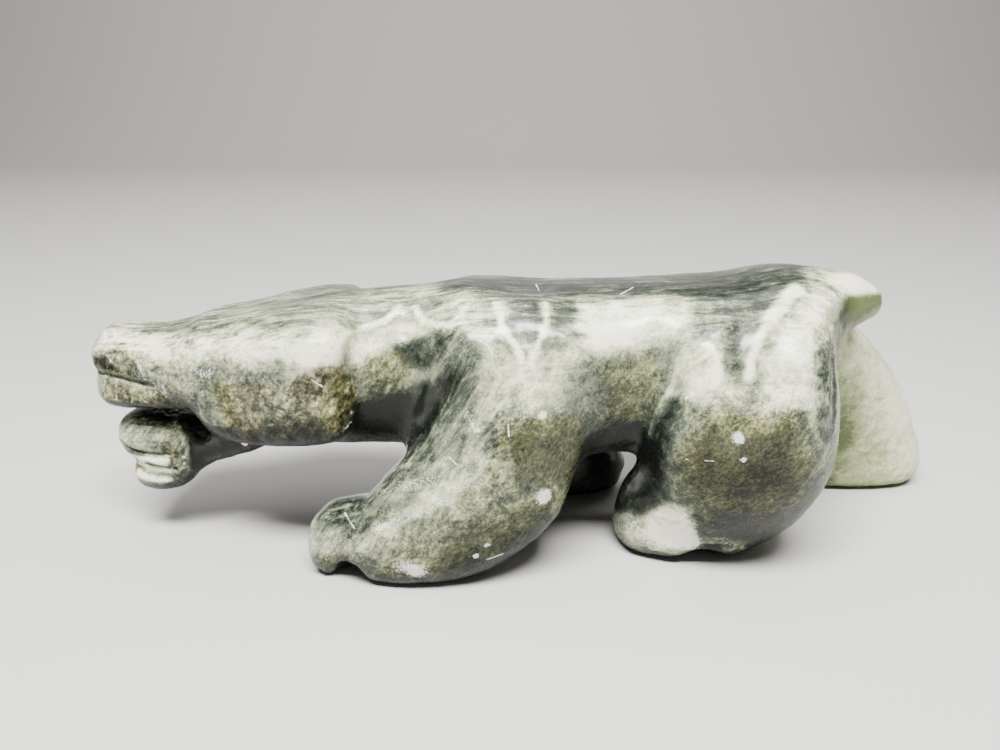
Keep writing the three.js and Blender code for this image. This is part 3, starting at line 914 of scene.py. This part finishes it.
# thin scratches: pixels along each, and width in mm
scratches = {
    "hooked on the back": ([(388, 282), (378, 286), (371, 298), (399, 301)], 0.5),
    "across the cheek": ([(280, 358), (323, 387)], 0.5),
    "on the shoulder": ([(480, 341), (487, 345), (493, 355)], 0.6),
    "beside the leg": ([(472, 423), (475, 432)], 0.6),
    "mid leg": ([(449, 457), (457, 465)], 0.4),
    "paw": ([(345, 513), (354, 528)], 0.5),
    "thigh's top": ([(686, 398), (718, 383)], 0.8),
    "flank": ([(621, 294), (633, 287)], 0.5),
    "across the thigh": ([(686, 459), (712, 461), (744, 459)], 0.35),
    "heel": ([(487, 559), (503, 554)], 0.5),
    "over the shoulder": ([(536, 284), (543, 302)], 0.5),
    "elbow": ([(508, 425), (509, 436)], 0.5),
    "thigh's front": ([(640, 462), (652, 430), (664, 402)], 0.4),
}
# white chips: pixel and radius in mm
chips = {
    "elbow": ((543, 415), 1.8),
    "back of the leg": ((544, 497), 3.4),
    "thigh": ((738, 438), 2.5),
    "below it": ((744, 460), 1.1),
    "under the cheek": ((245, 444), 1.3),
    "back of the cheek": ((353, 413), 1.1),
    "paw": ((414, 570), 3.0),
    "lower lip": ((184, 457), 0.8),
    "heel": ((487, 546), 1.4),
    "over the heel": ((476, 556), 1.2),
    "mid leg": ((478, 430), 1.0),
}


def toneOf(recipe, masks, noises):
    # one tone from dark to light, which the ramps turn into stone
    top, facet, hairs, streaks = masks["top"], masks["facet"], masks["hairs"], noises["streaks"]
    blotch, grain, grit = noises["blotch"], noises["grain"], noises["grit"]
    ridge = recipe.step(0 - masks["bend"], *spans["ridge"])
    coarse = tones["plain"] + masks["mottle"] * tones["mottled"]
    tone = tones["middle"] + noises["broad"] * tones["broad"] + blotch * coarse * tones["blotch"]
    tone = tone + grain * coarse * tones["grain"] + grit * coarse * tones["grit"]
    tone = tone + noises["fleck"] * coarse * tones["fleck"] + noises["dust"] * tones["dust"]
    tone = tone + top * streaks * tones["topStreaks"]
    tone = tone + facet * noises["facetStreaks"] * tones["facetStreaks"]
    tone = tone + (1 - top) * streaks * tones["sideStreaks"]
    tone = tone + hairs * noises["hairlines"] * tones["hairlines"] + hairs * streaks * tones["hairStreaks"]
    # the dark and light masks: the stone's own darker and paler patches, and also painted shade and painted
    # highlights
    broken = 1 + blotch * tones["darkBlotch"] + grain * tones["darkGrain"]
    darker = masks["dark"] * broken * tones["dark"]
    broken = 1 + noises["broad"] * tones["lightBroad"] + blotch * tones["lightBlotch"]
    lighter = masks["light"] * (broken + grit * tones["lightGrit"]) * tones["light"]
    # painted shade in spots that the stone or the ground closes in, and on faces that turn down
    hidden = recipe.step(masks["sheltered"], *spans["sheltered"])
    tone = tone + lighter - darker - masks["mottle"] * tones["mottle"] - hidden * tones["sheltered"]
    tone = tone + ridge * tones["ridge"] - masks["beneath"] * tones["beneath"]
    return tone * tones["contrast"] - tones["darken"]


def wearOf(recipe, place, scuff, noises):
    # white dust in the chips, scuffs and scratches
    grain, grit, fleck, dust = (noises[name] for name in ("grain", "grit", "fleck", "dust"))
    part = finish["scuff"]
    dusty = recipe.step(scuff + dust * part["dust"] + grit * part["grit"] * scuff, *spans["dusty"])
    part = finish["chip"]
    rim = grain * part["grain"] + dust * part["dust"] + fleck * part["fleck"]
    for pixel, radius in chips.values():
        away = recipe.gap(place, tuple(onStone(*pixel))) + rim * (radius * millimetre)
        low, high = (share * radius * millimetre for share in spans["chip"])
        dusty = dusty + 1 - recipe.step(away, low, high)
    rim = dust + grit
    for pixels, width in scratches.values():
        low, high = (share * width * millimetre for share in spans["scratch"])
        spots = [Vector(spot) for spot in pathOf(pixels)]
        for start, end in zip(spots, spots[1:]):
            away = recipe.distance(place, start, end)
            away = away + rim * (finish["scratch"]["grit"] * width * millimetre)
            dusty = dusty + 1 - recipe.step(away, low, high)
    return recipe.step(dusty, 0.0, 1.0)


def soapstone():
    recipe = Recipe("soapstone")
    place = recipe.node("ShaderNodeTexCoord", {}, {}, 3)
    names = ("crust", "moss", "mottle", "dark", "light", "facet", "scuff", "hairs", "pale", "top", "above",
             "beneath", "sheltered", "bend")
    masks = {name: recipe.attribute(name) for name in names}
    crust, moss, mottle, pale = (masks[name] for name in ("crust", "moss", "mottle", "pale"))
    along = recipe.stretched(place, *leans["along"])
    lean = recipe.stretched(place, *leans["grain"])
    places = {"streaks": along, "hairlines": along, "grain": lean, "grit": lean}
    places["facetStreaks"] = recipe.stretched(place, *leans["down"])
    noises = {name: recipe.clouds(places.get(name, place), name) for name in patterns}
    broad, blotch, grain, grit = (noises[name] for name in ("broad", "blotch", "grain", "grit"))
    fleck, streaks, pits = (noises[name] for name in ("fleck", "streaks", "pits"))
    tone = toneOf(recipe, masks, noises)

    base = recipe.ramp(tone, ramps["stone"])
    part = finish["olive"]
    olive = mottle * part["mottle"] + moss * part["moss"] + blotch * part["blotch"]
    olive = recipe.step(olive + grain * part["grain"] + broad * part["broad"], *spans["olive"])
    shade = recipe.ramp(tone + part["lift"], ramps["olive"])
    base = recipe.mix(olive * part["cover"], base, shade)
    part = finish["rust"]
    rust = recipe.step(noises["rust"] + mottle * part["mottle"], *spans["rust"])
    base = recipe.mix(rust * part["cover"], base, part["color"])
    part = finish["torn"]
    torn = crust + blotch * part["blotch"] + grain * part["grain"] + grit * part["grit"]
    torn = recipe.step(torn, *spans["torn"])
    part = finish["crust"]
    rind = recipe.ramp(tone + part["lift"] + pits * part["pits"] + grain * part["grain"], ramps["crust"])
    part = finish["moss"]
    shade = recipe.ramp(tone + part["lift"] + pits * part["pits"] + grain * part["grain"], ramps["moss"])
    rind = recipe.mix(moss * part["cover"], rind, shade)
    base = recipe.mix(torn * finish["torn"]["cover"], base, rind)
    part = finish["pale"]
    shade = tone + masks["light"] * part["light"] + blotch * part["blotch"] + grain * part["grain"]
    base = recipe.mix(pale, base, recipe.ramp(shade, ramps["pale"]))
    dusty = wearOf(recipe, place, masks["scuff"], noises)
    part = finish["scuff"]
    base = recipe.mix(dusty * (part["cover"] + fleck * part["fleck"]), base, part["color"])

    inputs = recipe.shader.inputs
    recipe.feed(inputs["Base Color"], base)
    part = finish["roughness"]
    rough = part["bare"] + torn * part["torn"] + dusty * part["dusty"] + grit * part["grit"]
    recipe.feed(inputs["Roughness"], rough + pale * part["pale"])
    part = finish["bump"]
    height = grit * part["grit"] + streaks * masks["top"] * part["streaks"]
    height = height + torn * pits * part["pits"] + dusty * part["dusty"]
    bump = {"Height": height, "Distance": part["distance"], "Strength": part["strength"]}
    recipe.feed(inputs["Normal"], recipe.node("ShaderNodeBump", {}, bump))
    part = finish["coat"]
    wax = part["bare"] - torn * part["torn"] - dusty * part["dusty"]
    recipe.feed(inputs["Coat Weight"], masks["above"] * wax)
    inputs["Coat Roughness"].default_value = part["roughness"]
    inputs["Specular IOR Level"].default_value = finish["specular"]
    return recipe.material


bear.data.materials.clear()
bear.data.materials.append(soapstone())
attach(bear, "root")
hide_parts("bear")


print("floor and light")
studio = {
    "floorColor": color(208, 206, 202),
    "floorFront": -3.0,
    "floorBack": 1.6,
    "floorHalfWidth": 4.0,
    "wallHeight": 2.6,
    "bendRadius": 0.9,
    "bendSteps": 16,
    "floorRoughness": 0.7,
    "lights": {  # place, aim, width and height, watts
        "key": ((-0.05, -0.4, 0.92), (0, 0, 0.05), (0.7, 0.22), 33),
        "overhead": ((0.0, 0.15, 1.3), (0, 0, 0.05), (1.6, 0.8), 8),
        "wall": ((0.0, 0.75, 1.5), (0, 2.1, 0.4), (2.4, 0.5), 26),
    },
    "sky": 0.16,
    "skyColor": (0.96, 0.95, 0.92, 1),
}


def addFloor():
    # a flat floor whose back edge is drawn up into a wall through a wide bend
    deselectAll()
    front, back, half = studio["floorFront"], studio["floorBack"], studio["floorHalfWidth"]
    bpy.ops.mesh.primitive_plane_add(size=2, location=(0, 0, 0))
    floor = bpy.context.object
    floor.name = "floor"
    for vertex in floor.data.vertices:
        vertex.co = (half * vertex.co.x, back if vertex.co.y > 0 else front, 0)
    bpy.context.tool_settings.mesh_select_mode = (False, True, False)
    bpy.ops.object.mode_set(mode="EDIT")
    bpy.ops.mesh.select_all(action="DESELECT")
    bpy.ops.object.mode_set(mode="OBJECT")
    for edge in floor.data.edges:
        edge.select = all(floor.data.vertices[index].co.y > 0 for index in edge.vertices)
    bpy.ops.object.mode_set(mode="EDIT")
    steps, radius = studio["bendSteps"], studio["bendRadius"]
    turn = math.pi / 2 / steps
    for step in range(steps):
        angle = turn * (step + 0.5)
        length = 2 * radius * math.sin(turn / 2)
        move = (0, length * math.cos(angle), length * math.sin(angle))
        bpy.ops.mesh.extrude_region_move(TRANSFORM_OT_translate={"value": move})
    bpy.ops.mesh.extrude_region_move(TRANSFORM_OT_translate={"value": (0, 0, studio["wallHeight"])})
    bpy.ops.object.mode_set(mode="OBJECT")
    bpy.ops.object.shade_smooth()
    recipe = Recipe("floor_paint")
    recipe.shader.inputs["Base Color"].default_value = studio["floorColor"]
    recipe.shader.inputs["Roughness"].default_value = studio["floorRoughness"]
    floor.data.materials.append(recipe.material)


def addLight(name, place, aim, size, power):
    deselectAll()
    bpy.ops.object.light_add(type="AREA", location=place)
    light = bpy.context.object
    light.name = name
    light.data.shape = "RECTANGLE"
    light.data.size, light.data.size_y = size
    light.data.energy = power
    toward = Vector(aim) - Vector(place)
    light.rotation_euler = toward.to_track_quat("-Z", "Y").to_euler()


addFloor()
for name, (place, aim, size, power) in studio["lights"].items():
    addLight(name, place, aim, size, power)

world = bpy.data.worlds.new("studio")
bpy.context.scene.world = world
world.use_nodes = True
world.node_tree.nodes["Background"].inputs["Color"].default_value = studio["skyColor"]
world.node_tree.nodes["Background"].inputs["Strength"].default_value = studio["sky"]

print("done")
